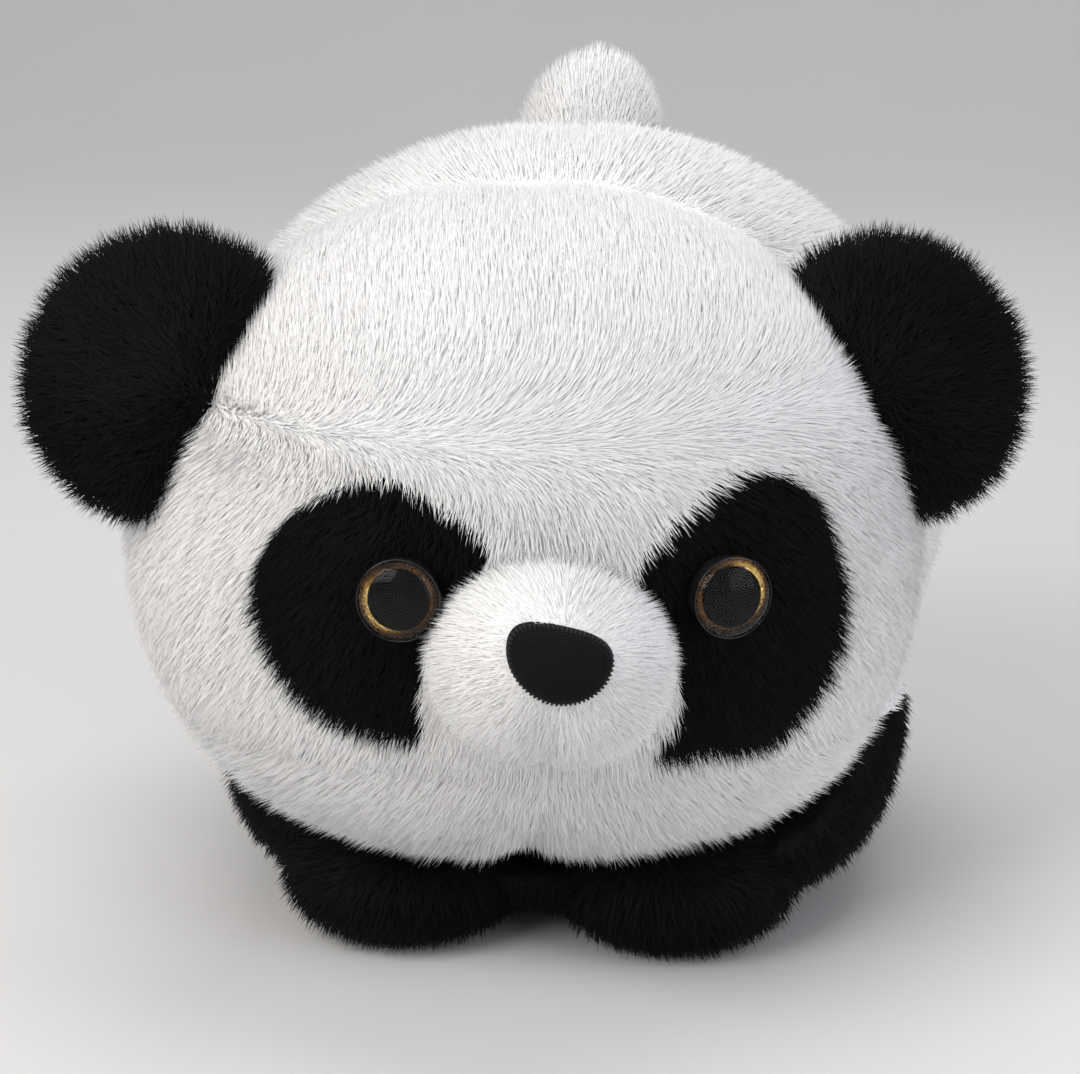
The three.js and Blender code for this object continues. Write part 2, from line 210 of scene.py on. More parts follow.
def noseMaterial():
    material, nodes, links, shader = makeMaterial(
        "noseKnit", Specular_IOR_Level=0.1, Sheen_Weight=0.01, Sheen_Roughness=0.35,
    )
    place = nodes.new("ShaderNodeTexCoord").outputs["Object"]
    heights = []
    for direction in ("X", "Z"):
        wave = nodes.new("ShaderNodeTexWave")
        wave.bands_direction = direction
        wave.inputs["Scale"].default_value = 620
        wave.inputs["Distortion"].default_value = 0.6
        wave.inputs["Detail Scale"].default_value = 2
        links.new(place, wave.inputs["Vector"])
        heights.append(wave.outputs["Fac"])
    knit = nodes.new("ShaderNodeMath")
    knit.operation = "MULTIPLY"
    links.new(heights[0], knit.inputs[0])
    links.new(heights[1], knit.inputs[1])
    yarnStops = [(0.0, (0.002, 0.002, 0.003)), (0.8, (0.009, 0.009, 0.011))]
    yarn = addRamp(nodes, links, knit.outputs[0], yarnStops)
    rubbed = addNoise(nodes, links, place, 150, 3)
    wear = addRamp(nodes, links, rubbed, [(0.3, (0.75, 0.75, 0.75)), (0.7, (1, 1, 1))])
    links.new(addMix(nodes, links, "MULTIPLY", 1.0, yarn, wear), shader.inputs["Base Color"])
    addRange(nodes, links, knit.outputs[0], 0.8, 0.62, shader.inputs["Roughness"])
    addBump(nodes, links, shader, knit.outputs[0], 0.5, 0.00025)
    return material


def threadMaterial():
    material, nodes, links, shader = makeMaterial("noseThread", Specular_IOR_Level=0.3)
    place = nodes.new("ShaderNodeTexCoord").outputs["Object"]
    twist = addNoise(nodes, links, place, 1800, 2)
    colour = addRamp(nodes, links, twist, [(0.3, (0.004, 0.004, 0.005)), (0.7, (0.016, 0.016, 0.018))])
    links.new(colour, shader.inputs["Base Color"])
    addRange(nodes, links, twist, 0.55, 0.8, shader.inputs["Roughness"])
    return material


def glitterMaterial():
    material, nodes, links, shader = makeMaterial("eyeGlitter", Metallic=0.8)
    place = nodes.new("ShaderNodeTexCoord").outputs["Object"]
    flakes = nodes.new("ShaderNodeTexVoronoi")
    flakes.inputs["Scale"].default_value = 1900
    links.new(place, flakes.inputs["Vector"])
    split = nodes.new("ShaderNodeSeparateColor")
    links.new(flakes.outputs["Color"], split.inputs["Color"])
    flakeStops = [(0.0, (0.30, 0.24, 0.18)), (0.5, (0.75, 0.66, 0.52)), (1.0, (1.0, 1.0, 0.95))]
    flake = addRamp(nodes, links, split.outputs[0], flakeStops)
    # Painted highlight: the ring is dark brown, lightened to bright gold where the eye code paints shine and
    # highlight on it
    glow = nodes.new("ShaderNodeAttribute")
    glow.attribute_name = "glow"
    goldStops = [(0.0, (0.012, 0.007, 0.004)), (0.4, (0.20, 0.09, 0.015)), (1.0, (1.0, 0.72, 0.26))]
    gold = addRamp(nodes, links, glow.outputs["Fac"], goldStops)
    links.new(addMix(nodes, links, "MULTIPLY", 1.0, gold, flake), shader.inputs["Base Color"])
    addRange(nodes, links, split.outputs[1], 0.18, 0.5, shader.inputs["Roughness"])
    addBump(nodes, links, shader, flakes.outputs["Distance"], 0.5, 0.0003)
    return material


def glossMaterial(name, dark, light, low, high, **values):
    material, nodes, links, shader = makeMaterial(name, **values)
    place = nodes.new("ShaderNodeTexCoord").outputs["Object"]
    smear = addNoise(nodes, links, place, 240, 4)
    links.new(addRamp(nodes, links, smear, [(0.3, dark), (0.7, light)]), shader.inputs["Base Color"])
    addRange(nodes, links, smear, low, high, shader.inputs["Roughness"])
    return material


filling = fillingMaterial()
noseKnit = noseMaterial()
noseThread = threadMaterial()
eyeGlitter = glitterMaterial()
eyeBlack = glossMaterial("eyeBlack", (0.004, 0.004, 0.005), (0.012, 0.011, 0.012), 0.08, 0.2)
pupilBlack = glossMaterial(
    "pupilBlack", (0.001, 0.001, 0.0012), (0.003, 0.003, 0.0035), 0.3, 0.5, Specular_IOR_Level=0.0,
)
eyeDome = glossMaterial(
    "eyeDome", (0.97, 0.97, 0.97), (1.0, 1.0, 1.0), 0.02, 0.08, Transmission_Weight=1.0, IOR=1.19,
)
washerPlastic = glossMaterial("washerPlastic", (0.24, 0.24, 0.25), (0.32, 0.32, 0.33), 0.4, 0.6)
print("materials made")


# Small tools for meshes
def addObject(name, points, faces, materials=()):
    mesh = bpy.data.meshes.new(name)
    mesh.from_pydata([tuple(point) for point in points], [], [tuple(face) for face in faces])
    for material in materials:
        mesh.materials.append(material)
    mesh.update()
    piece = bpy.data.objects.new(name, mesh)
    bpy.context.scene.collection.objects.link(piece)
    return piece


def pointsOf(mesh):
    flat = np.zeros(len(mesh.vertices) * 3)
    mesh.vertices.foreach_get("co", flat)
    return flat.reshape(-1, 3)


def normalsOf(mesh):
    flat = np.zeros(len(mesh.vertices) * 3)
    mesh.vertices.foreach_get("normal", flat)
    return flat.reshape(-1, 3)


def facesOf(mesh):
    return [tuple(face.vertices) for face in mesh.polygons]


def moved(points, matrix):
    spin = np.array(matrix.to_3x3())
    return points @ spin.T + np.array(matrix.translation)


def applied(piece):
    evaluated = piece.evaluated_get(bpy.context.evaluated_depsgraph_get())
    mesh = bpy.data.meshes.new_from_object(evaluated)
    piece.modifiers.clear()
    old = piece.data
    piece.data = mesh
    bpy.data.meshes.remove(old)
    return piece


def ballForm(name, shape, matrix, level=5):
    ball = bmesh.new()
    bmesh.ops.create_icosphere(ball, subdivisions=level, radius=1)
    directions = np.array([vertex.co[:] for vertex in ball.verts])
    directions /= np.linalg.norm(directions, axis=1)[:, None]
    faces = [[vertex.index for vertex in face.verts] for face in ball.faces]
    ball.free()
    return addObject(name, moved(shape(directions), matrix), faces)


def remeshed(piece, size):
    remesh = piece.modifiers.new("remesh", "REMESH")
    remesh.mode = "VOXEL"
    remesh.voxel_size = size * mm
    return applied(piece)


def smoothed(piece, repeats, strength=0.5):
    smooth = piece.modifiers.new("smooth", "SMOOTH")
    smooth.iterations = repeats
    smooth.factor = strength
    return applied(piece)


def smoothStep(low, high, values):
    share = np.clip((values - low) / (high - low), 0, 1)
    return share * share * (3 - 2 * share)


print("helpers ready")


# The pile, a Geometry Nodes tree that sets fibres on a cloth piece
# "lie" says which way the fibres are stroked at each point, "reach" how long they are

def makePileTree():
    tree = bpy.data.node_groups.new("pile", "GeometryNodeTree")
    face = tree.interface
    face.new_socket("Cloth", in_out="INPUT", socket_type="NodeSocketGeometry")
    usual = {
        "Length": 0.007, "Width": 0.0003, "Density": 1e6, "Clump": 0.4, "Wild": 0.3, "Clump Scale": 150.0,
    }
    for name, value in usual.items():
        face.new_socket(name, in_out="INPUT", socket_type="NodeSocketFloat").default_value = value
    face.new_socket("Seed", in_out="INPUT", socket_type="NodeSocketInt")
    face.new_socket("Finish", in_out="INPUT", socket_type="NodeSocketMaterial")
    face.new_socket("Pile", in_out="OUTPUT", socket_type="NodeSocketGeometry")
    nodes, links = tree.nodes, tree.links
    given = nodes.new("NodeGroupInput").outputs
    done = nodes.new("NodeGroupOutput").inputs

    def add(kind, **settings):
        node = nodes.new(kind)
        for name, value in settings.items():
            setattr(node, name, value)
        return node

    def vectorMath(operation, first, second=None, scale=None):
        node = add("ShaderNodeVectorMath", operation=operation)
        links.new(first, node.inputs[0])
        if isinstance(second, tuple):
            node.inputs[1].default_value = second
        elif second is not None:
            links.new(second, node.inputs[1])
        if scale is not None:
            links.new(scale, node.inputs["Scale"])
        return node.outputs[0]

    def randomValue(low, high, salt, vector=False):
        node = add("FunctionNodeRandomValue", data_type="FLOAT_VECTOR" if vector else "FLOAT")
        at = 0 if vector else 2
        node.inputs[at].default_value = (low,) * 3 if vector else low
        node.inputs[at + 1].default_value = (high,) * 3 if vector else high
        seed = add("ShaderNodeMath", operation="ADD")
        links.new(given["Seed"], seed.inputs[0])
        seed.inputs[1].default_value = salt
        links.new(seed.outputs[0], node.inputs["Seed"])
        return node.outputs[0 if vector else 1]

    def multiply(first, second):
        node = add("ShaderNodeMath", operation="MULTIPLY")
        links.new(first, node.inputs[0])
        links.new(second, node.inputs[1])
        return node.outputs[0]

    def named(name, kind):
        node = add("GeometryNodeInputNamedAttribute", data_type=kind)
        node.inputs["Name"].default_value = name
        return node.outputs["Attribute"]

    scatter = add("GeometryNodeDistributePointsOnFaces")
    links.new(given["Cloth"], scatter.inputs["Mesh"])
    links.new(given["Density"], scatter.inputs["Density"])
    links.new(given["Seed"], scatter.inputs["Seed"])
    curl = add("ShaderNodeTexNoise")
    links.new(given["Clump Scale"], curl.inputs["Scale"])
    curl.inputs["Detail"].default_value = 1
    links.new(add("GeometryNodeInputPosition").outputs[0], curl.inputs["Vector"])
    swirl = vectorMath("SUBTRACT", curl.outputs["Color"], (0.5, 0.5, 0.5))
    swirl = vectorMath("SCALE", swirl, scale=given["Clump"])
    stray = vectorMath("SCALE", randomValue(-1, 1, 11, True), scale=given["Wild"])
    stroked = vectorMath("ADD", scatter.outputs["Normal"], named("lie", "FLOAT_VECTOR"))
    lean = vectorMath("ADD", stroked, vectorMath("ADD", swirl, stray))
    aim = add("FunctionNodeAlignRotationToVector", axis="Z")
    links.new(lean, aim.inputs["Vector"])
    reach = named("reach", "FLOAT")
    size = add("ShaderNodeCombineXYZ")
    width = multiply(given["Width"], randomValue(0.7, 1.3, 23))
    links.new(width, size.inputs["X"])
    links.new(width, size.inputs["Y"])
    links.new(multiply(multiply(given["Length"], reach), randomValue(0.6, 1.15, 37)), size.inputs["Z"])
    fibre = add("GeometryNodeMeshCone", fill_type="NGON")
    fibre.inputs["Vertices"].default_value = 3
    fibre.inputs["Radius Bottom"].default_value = 1
    fibre.inputs["Depth"].default_value = 1
    long = add("FunctionNodeCompare", operation="GREATER_THAN")
    links.new(reach, long.inputs[0])
    long.inputs[1].default_value = 0.12
    grow = add("GeometryNodeInstanceOnPoints")
    links.new(scatter.outputs["Points"], grow.inputs["Points"])
    links.new(long.outputs[0], grow.inputs["Selection"])
    links.new(fibre.outputs["Mesh"], grow.inputs["Instance"])
    links.new(aim.outputs[0], grow.inputs["Rotation"])
    links.new(size.outputs[0], grow.inputs["Scale"])
    shade = add("GeometryNodeStoreNamedAttribute", data_type="FLOAT", domain="INSTANCE")
    links.new(grow.outputs[0], shade.inputs["Geometry"])
    shade.inputs["Name"].default_value = "shade"
    links.new(randomValue(0, 1, 51), shade.inputs["Value"])
    facing = add("GeometryNodeStoreNamedAttribute", data_type="FLOAT_VECTOR", domain="INSTANCE")
    links.new(shade.outputs[0], facing.inputs["Geometry"])
    facing.inputs["Name"].default_value = "facing"
    links.new(scatter.outputs["Normal"], facing.inputs["Value"])
    real = add("GeometryNodeRealizeInstances")
    links.new(facing.outputs[0], real.inputs["Geometry"])
    smooth = add("GeometryNodeSetShadeSmooth")
    links.new(real.outputs[0], smooth.inputs["Geometry"])
    finish = add("GeometryNodeSetMaterial")
    links.new(smooth.outputs[0], finish.inputs["Geometry"])
    links.new(given["Finish"], finish.inputs["Material"])
    links.new(finish.outputs[0], done["Pile"])
    return tree


pileTree = makePileTree()
pileSockets = {item.name: item.identifier for item in pileTree.interface.items_tree if item.in_out == "INPUT"}


# How much a fibre is shaded like the cloth it stands on, which keeps the pile soft
softShare = 0.85


def growPile(cloth, name, seed, finish, **sizes):
    pile = bpy.data.objects.new(name, cloth.data.copy())
    bpy.context.scene.collection.objects.link(pile)
    grower = pile.modifiers.new("pile", "NODES")
    grower.node_group = pileTree
    for label, value in sizes.items():
        grower[pileSockets[label.replace("_", " ")]] = value
    grower[pileSockets["Seed"]] = seed
    grower[pileSockets["Finish"]] = finish
    applied(pile)
    cloth = np.zeros(len(pile.data.vertices) * 3)
    pile.data.attributes["facing"].data.foreach_get("vector", cloth)
    own = normalsOf(pile.data)
    soft = cloth.reshape(-1, 3) * softShare + own * (1 - softShare)
    pile.data.normals_split_custom_set_from_vertices(soft / np.linalg.norm(soft, axis=1)[:, None])
    for extra in ("lie", "reach", "facing"):
        if extra in pile.data.attributes:
            pile.data.attributes.remove(pile.data.attributes[extra])
    return pile


# The forms: each stuffed part as a closed skin, in its own millimetres

headSpec = {
    "half": (103.5, 87.0, 88.0), "under": 4.2, "jowlLeft": 0.115, "jowlRight": 0.055,
    "foreheadEdge": 33.0, "chinEdge": -46.0, "cleft": 2.4, "cleftWidth": 4.0, "lobe": 0.7,
    "openingAngle": 44.0, "neckHollow": 50.0, "neckDeep": 65.0,
}


def headShape(d):
    spec = headSpec
    half = np.array(spec["half"]) - spec["under"]
    x, y, z = d.T
    low = np.clip(-z, 0, 1)
    jowl = np.where(x > 0, spec["jowlLeft"], spec["jowlRight"])
    p = d * half * (1 + jowl * 4 * x * x * low * low)[:, None]
    front = smoothStep(20, -30, p[:, 1]) * smoothStep(-44, -66, p[:, 2])
    cleft = -spec["cleft"] * np.exp(-((p[:, 0] + 1) / spec["cleftWidth"]) ** 2)
    lobes = spec["lobe"] * np.exp(-((np.abs(p[:, 0] + 1) - 19) / 13) ** 2)
    out = d / half
    out /= np.linalg.norm(out, axis=1)[:, None]
    return p + out * (front * (cleft + lobes))[:, None]


muzzleSpec = {
    "centre": (-3.4, -84.0, -13.4), "half": (31.5, 27.0, 27.0), "under": 3.4, "roll": 6.0, "crease": 1.8,
}
muzzleRoll = Matrix.Rotation(math.radians(muzzleSpec["roll"]), 4, "Y")
muzzlePose = headPose @ Matrix.Translation(muzzleSpec["centre"]) @ muzzleRoll


def muzzleShape(d):
    spec = muzzleSpec
    p = d * (np.array(spec["half"]) - spec["under"])
    crease = spec["crease"] * np.exp(-(p[:, 0] / 3.5) ** 2) * smoothStep(2, -10, p[:, 2])
    return p - d * crease[:, None]


bodySpec = {
    "under": 4.6,
    "back": ((0, 87, 107), (109, 101, 97)),
    "belly": ((2, 55, 50), (99, 102, 46)),
    "bib": ((2, 54, 34.5), (93.5, 84, 34)),
    "bibSquare": 3.0,
    "socket": (107.0, 92.0, 92.0),
    "turns": (-14, -7, 0, 7, 14),
    "room": 1.09,
    "fillingGap": 9.0,
    "voxel": 5.0,
}


def ellipsoidShape(centre, half, under=0.0):
    return lambda d: d * (np.array(half) - under) + np.array(centre)


# A ball with fuller corners, from the same directions
def fullShape(centre, half, under, square):
    def shape(d):
        grown = (np.abs(d) ** square).sum(1) ** (-1 / square)
        return d * grown[:, None] * (np.array(half) - under) + np.array(centre)

    return shape


def joined(name, parts, voxel):
    points, faces = [], []
    for part in parts:
        faces += [[index + len(points) for index in face] for face in facesOf(part.data)]
        points += list(pointsOf(part.data))
        bpy.data.objects.remove(part)
    return remeshed(addObject(name, points, faces), voxel)


def cutAway(piece, tool):
    cut = piece.modifiers.new("cut", "BOOLEAN")
    cut.operation = "DIFFERENCE"
    cut.solver = "EXACT"
    cut.object = tool
    applied(piece)
    bpy.data.objects.remove(tool)
    return piece


# The room the head needs in the body as it turns either way, pile and all
def headRoom():
    parts = [ballForm("room", ellipsoidShape(headMiddle, bodySpec["socket"]), bodyPose)]
    for turn in bodySpec["turns"]:
        pose = Matrix.Translation(headCentre) @ Matrix.Rotation(math.radians(turn), 4, "Z")
        parts.append(ballForm("room", headShape, pose @ Matrix.Scale(mm * bodySpec["room"], 4)))
    return joined("room", parts, bodySpec["voxel"])


# How far out a point of the body is, from 1 on the skin of that room
def roomShare(p):
    offset = p - np.array(headMiddle)
    share = np.sqrt(((offset / np.array(bodySpec["socket"])) ** 2).sum(1))
    half = np.array(headSpec["half"]) - headSpec["under"]
    for turn in bodySpec["turns"]:
        c, s = math.cos(math.radians(turn)), math.sin(math.radians(turn))
        x, y, z = offset.T
        q = np.stack([x * c + y * s, y * c - x * s, z], 1) / half
        far = np.sqrt((q ** 2).sum(1))
        d = q / far[:, None]
        jowl = np.where(d[:, 0] > 0, headSpec["jowlLeft"], headSpec["jowlRight"])
        swept = 1 + jowl * 4 * d[:, 0] ** 2 * np.clip(-d[:, 2], 0, 1) ** 2
        share = np.minimum(share, far / (swept * bodySpec["room"]))
    return share


def bodyForm():
    spec = bodySpec
    shapes = [ellipsoidShape(*spec[name], spec["under"]) for name in ("back", "belly")]
    shapes.append(fullShape(*spec["bib"], spec["under"], spec["bibSquare"]))
    parts = [ballForm("bodyBall", shape, bodyPose) for shape in shapes]
    body = smoothed(joined("bodyForm", parts, spec["voxel"]), 6)
    return smoothed(remeshed(cutAway(body, headRoom()), spec["voxel"]), 2)


earSpec = {
    "centre": (91.5, -15.0, 40.5), "up": (-0.44, 0.213, 0.872), "out": (0.872, 0.333, 0.359),
    "radius": 34.5, "front": 14.0, "back": 8.5, "inner": -13.0, "hollow": 3.5,
}


def earPose(side):
    spec = earSpec
    up = Vector((side * spec["up"][0], spec["up"][1], spec["up"][2])).normalized()
    out = Vector((spec["out"][0], side * spec["out"][1], side * spec["out"][2]))
    along = (out - up * out.dot(up)).normalized()
    back = up.cross(along)
    turn = Matrix((along, back, up)).transposed().to_4x4()
    return headPose @ Matrix.Translation((side * spec["centre"][0], *spec["centre"][1:])) @ turn


def earShape(side):
    spec = earSpec

    def shape(d):
        x, y, z = d[:, 0] * side, d[:, 1], d[:, 2]
        radius = spec["radius"]
        across = x * radius
        across = np.where(across < spec["inner"], spec["inner"] + (across - spec["inner"]) * 0.25, across)
        thick = np.where(y < 0, spec["front"], spec["back"])
        rounded = np.sign(y) * np.abs(y) ** 0.85
        deep = rounded * thick
        hollow = spec["hollow"] * np.exp(-(((across - 14) / 11) ** 2 + (z * radius / 14) ** 2)) * (y < 0)
        return np.stack([across * side, deep + hollow, z * radius], 1)

    return shape


tailSpec = {
    "root": (-1.0, 157.0, 176.0), "lean": 20.0,
    "half": (22.8, 16.5, 25.0), "under": 3.2, "reach": 16.5, "slant": 4.5,
}
tailLean = Matrix.Rotation(math.radians(-tailSpec["lean"]), 4, "X")
tailPose = bodyPose @ Matrix.Translation(tailSpec["root"]) @ tailLean


def tailShape(d):
    spec = tailSpec
    p = d * (np.array(spec["half"]) - spec["under"]) + np.array((0, 0, spec["reach"]))
    high = np.clip(p[:, 2] / 42, -0.2, 1)
    p[:, 0] = p[:, 0] * (1.04 - 0.16 * high) + spec["slant"] * high
    return p


legSpec = {
    "front": {"centre": (36, 1, 17), "half": (35, 38, 21), "under": 3.6},
    "rear": {"centre": (46, 136, 30), "half": (35, 36, 35), "under": 3.6},
}


def legShape(where, side):
    spec = legSpec[where]
    x, y, z = spec["centre"]

    def shape(d):
        p = d * (np.array(spec["half"]) - spec["under"]) + np.array((side * x, y, z))
        p[:, 2] = np.where(p[:, 2] < 6, 1.2 + 4.8 * np.exp((p[:, 2] - 6) / 4.8), p[:, 2])
        return p

    return shape


# Stuffing: the forms are remeshed and blown up a little by a cloth simulation, held along their seams

stuffingSpec = {
    "pressure": 30.0, "weight": 0.05, "stretch": 0.3, "shear": 0.15, "bend": 0.05, "frames": 20,
    "voxel": 4.5, "smallVoxel": 4.0, "muzzleVoxel": 3.0, "cap": 1.8, "smallCap": 1.3, "thinCap": 1.2,
}


def polygonDistance(outline, x, z):
    nearest = np.full(len(x), 1e9)
    inside = np.zeros(len(x), bool)
    for (ax, az), (bx, bz) in zip(outline, np.roll(outline, -1, axis=0)):
        dx, dz = bx - ax, bz - az
        share = np.clip(((x - ax) * dx + (z - az) * dz) / (dx * dx + dz * dz), 0, 1)
        nearest = np.minimum(nearest, np.hypot(x - ax - share * dx, z - az - share * dz))
        crosses = ((az > z) != (bz > z)) & (x < (bx - ax) * (z - az) / (bz - az + 1e-12) + ax)
        inside ^= crosses
    return np.where(inside, -nearest, nearest)


# Outlines of the black patches round the eyes, from the middle of the face outwards
patchSpec = {
    "left": ((16.5, 8.5), (26.8, 20.6), (43.6, 29.5), (61, 22.7), (69, 6), (72, -6), (71, -18), (66, -30),
             (54, -42), (38.5, -41.5), (24, -41), (29.5, -25), (21, -2)),
    "right": ((18.0, 13.0), (26.6, 22), (43.8, 28.4), (59.9, 21), (69, 9), (71.8, -3), (68, -17), (61, -27),
              (50, -34), (33, -35), (33, -18), (28, -2)),
}


def smoothOutline(points, steps=6):
    p = np.array(points, float)
    before, after, later = np.roll(p, 1, 0), np.roll(p, -1, 0), np.roll(p, -2, 0)
    rows = []
    for step in range(steps):
        t = step / steps
        rows.append(0.5 * (2 * p + (after - before) * t + (2 * before - 5 * p + 4 * after - later) * t * t
                           + (3 * p - before - 3 * after + later) * t ** 3))
    return np.stack(rows, 1).reshape(-1, 2)


patchOutlines = {name: smoothOutline(points) for name, points in patchSpec.items()}


def patchField(side):
    outline = patchOutlines["left" if side > 0 else "right"]
    return lambda p: polygonDistance(outline, side * p[:, 0], p[:, 2]) + 200 * (p[:, 1] > -20)


def farFromHole(p):
    across = np.hypot(p[:, 0], p[:, 2])
    return math.radians(headSpec["openingAngle"]) - np.arctan2(across, p[:, 1])


def opening(p):
    return farFromHole(p) * -90


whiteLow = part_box("back_panel_left")[0]
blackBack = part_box("belly_panel")[0]
blackTop = (whiteLow.z - home.z) / mm
backSeam = (whiteLow.x - home.x) / mm
chestBack = (blackBack.y - home.y) / mm

headFields = [
    lambda p: p[:, 2] - headSpec["foreheadEdge"], lambda p: p[:, 2] - headSpec["chinEdge"],
    lambda p: p[:, 0], patchField(1), patchField(-1), opening,
]
bodyFields = [lambda p: p[:, 2] - blackTop, lambda p: p[:, 0] - backSeam, lambda p: p[:, 1] - chestBack]


def headLabel(p):
    sideName = np.where(p[:, 0] > 0, "left", "right")
    start = np.where(p[:, 2] < headSpec["chinEdge"], "chin_", "cheek_")
    label = np.char.add(start, sideName)
    label = np.where(p[:, 2] > headSpec["foreheadEdge"], "forehead_panel", label)
    for name, side in sides:
        label = np.where(patchField(side)(p) < 0, "eye_patch_" + name, label)
    return np.where(opening(p) < 0, "", label)


def bodyLabel(p):
    white = np.where(p[:, 0] > backSeam, "back_panel_left", "back_panel_right")
    black = np.where(p[:, 1] > chestBack, "belly_panel", "chest_panel")
    return np.where(p[:, 2] > blackTop, white, black)


def sideLabel(start):
    return lambda p: np.where(p[:, 0] > 0, start + "left", start + "right")


forms = {}


def addForm(name, piece, pose, fields, label, voxel, cap):
    forms[name] = {"piece": piece, "pose": pose, "fields": fields, "label": label, "cap": cap}
    if voxel:
        remeshed(piece, voxel)


middleField = [lambda p: p[:, 0]]
coarse, fine, finest = stuffingSpec["voxel"], stuffingSpec["smallVoxel"], stuffingSpec["muzzleVoxel"]
bigCap, smallCap, thinCap = stuffingSpec["cap"], stuffingSpec["smallCap"], stuffingSpec["thinCap"]
soleHigh = 4


def earLabel(sideName):
    return lambda p: np.where(p[:, 1] < 0, "ear_front_" + sideName, "ear_back_" + sideName)


def legLabel(word):
    return lambda p: np.where(p[:, 2] < soleHigh, word.replace("leg", "sole"), word)


headBall = ballForm("headForm", headShape, headPose, 6)
addForm("head", headBall, headPose, headFields, headLabel, coarse, bigCap)
addForm("body", bodyForm(), bodyPose, bodyFields, bodyLabel, 0, bigCap)
muzzleBall = ballForm("muzzleForm", muzzleShape, muzzlePose)
addForm("muzzle", muzzleBall, muzzlePose, middleField, sideLabel("muzzle_"), finest, thinCap)
tailBall = ballForm("tailForm", tailShape, tailPose)
addForm("tail", tailBall, tailPose, middleField, sideLabel("tail_"), fine, smallCap)
for sideName, side in sides:
    earBall = ballForm("earForm", earShape(side), earPose(side))
    addForm("ear_" + sideName, earBall, earPose(side), [lambda p: p[:, 1]], earLabel(sideName), fine, thinCap)
    for where in ("front", "rear"):
        word = f"{where}_leg_{sideName}"
        legBall = ballForm("legForm", legShape(where, side), bodyPose)
        addForm(word, legBall, bodyPose, [lambda p: p[:, 2] - soleHigh], legLabel(word), fine, smallCap)
print("forms made")


def stuffForms():
    spec = stuffingSpec
    for name, form in forms.items():
        piece = form["piece"]
        local = moved(pointsOf(piece.data), form["pose"].inverted())
        nearSeam = np.min([np.abs(field(local)) for field in form["fields"]], axis=0)
        if name == "body":
            nearSeam = np.minimum(nearSeam, np.abs(roomShare(local) - 1) * 95)
        pins = piece.vertex_groups.new(name="seams")
        for index, weight in enumerate(1 - smoothStep(1.5, 7, nearSeam)):
            if weight > 0:
                pins.add([index], float(weight), "REPLACE")
        cloth = piece.modifiers.new("cloth", "CLOTH")
        cloth.settings.use_pressure = True
        cloth.settings.uniform_pressure_force = spec["pressure"]
        cloth.settings.mass = spec["weight"]
        cloth.settings.tension_stiffness = cloth.settings.compression_stiffness = spec["stretch"]
        cloth.settings.shear_stiffness = spec["shear"]
        cloth.settings.bending_stiffness = spec["bend"]
        cloth.settings.vertex_group_mass = "seams"
        cloth.settings.effector_weights.gravity = 0
        cloth.point_cache.frame_start = 1
        cloth.point_cache.frame_end = spec["frames"]
    for number in range(1, spec["frames"] + 1):
        bpy.context.scene.frame_set(number)
    for name, form in forms.items():
        piece = form["piece"]
        before = pointsOf(piece.data)
        applied(piece)
        shift = pointsOf(piece.data) - before
        far = np.linalg.norm(shift, axis=1)
        print("stuffed", name, len(before), "points, swell", round(float(far.max()) * 1000, 1), "mm")
        after = before + shift * np.minimum(1, form["cap"] * mm / np.maximum(far, 1e-9))[:, None]
        piece.data.vertices.foreach_set("co", after.ravel())
        piece.vertex_groups.clear()
    bpy.context.scene.frame_set(1)


stuffForms()
for name, form in forms.items():
    skin = form["piece"].data
    form["coarse"] = (pointsOf(skin), normalsOf(skin), facesOf(skin))
    finer = form["piece"].modifiers.new("finer", "SUBSURF")
    finer.levels = finer.render_levels = 1
    applied(form["piece"])
print("forms stuffed")


# Panels: each form is cut into its cloth pieces along the seams, and pile is grown on them

def seamedForm(form):
    mesh = form["piece"].data
    back = form["pose"].inverted()
    local = moved(pointsOf(mesh), back)
    corners = np.array(facesOf(mesh))
    label = form["label"](local[corners].mean(1))
    names, code = np.unique(label, return_inverse=True)
    low, high = np.full(len(local), 99), np.full(len(local), -1)
    np.minimum.at(low, corners.ravel(), np.repeat(code, 4))
    np.maximum.at(high, corners.ravel(), np.repeat(code, 4))
    edge = np.where(low != high)[0]
    values = np.array([field(local[edge]) for field in form["fields"]])
    chosen = np.abs(values).argmin(0)
    for number, field in enumerate(form["fields"]):
        at = edge[chosen == number]
        if not len(at):
            continue
        here = field(local[at])
        slope = np.stack([field(local[at] + step) - here for step in np.eye(3) * 0.2], 1) / 0.2
        steep = np.maximum((slope ** 2).sum(1), 0.05)
        step = -slope * (here / steep)[:, None]
        far = np.linalg.norm(step, axis=1)
        local[at] += step * np.minimum(1, 3 / np.maximum(far, 1e-9))[:, None]
    return local, normalsOf(mesh), corners, names, code


eyeSpec = {"side": 39.0, "up": 2.0, "outwards": 15.0, "radius": 10.0}


def eyePose(side):
    spec = eyeSpec
    halfX, halfY, halfZ = headSpec["half"]
    front = -halfY * math.sqrt(1 - (spec["side"] / halfX) ** 2 - (spec["up"] / halfZ) ** 2)
    turn = math.radians(spec["outwards"])
    look = Vector((side * math.sin(turn), -math.cos(turn), 0))
    across = Vector((0, 0, 1)).cross(look).normalized()
    basis = Matrix((across, look.cross(across), look)).transposed().to_4x4()
    return headPose @ Matrix.Translation((side * spec["side"], front, spec["up"])) @ basis


noseSpec = {"across": -1.7, "up": 5.8, "width": 25.2, "height": 17.4, "tilt": 6.0, "thick": 4.4, "rings": 14}


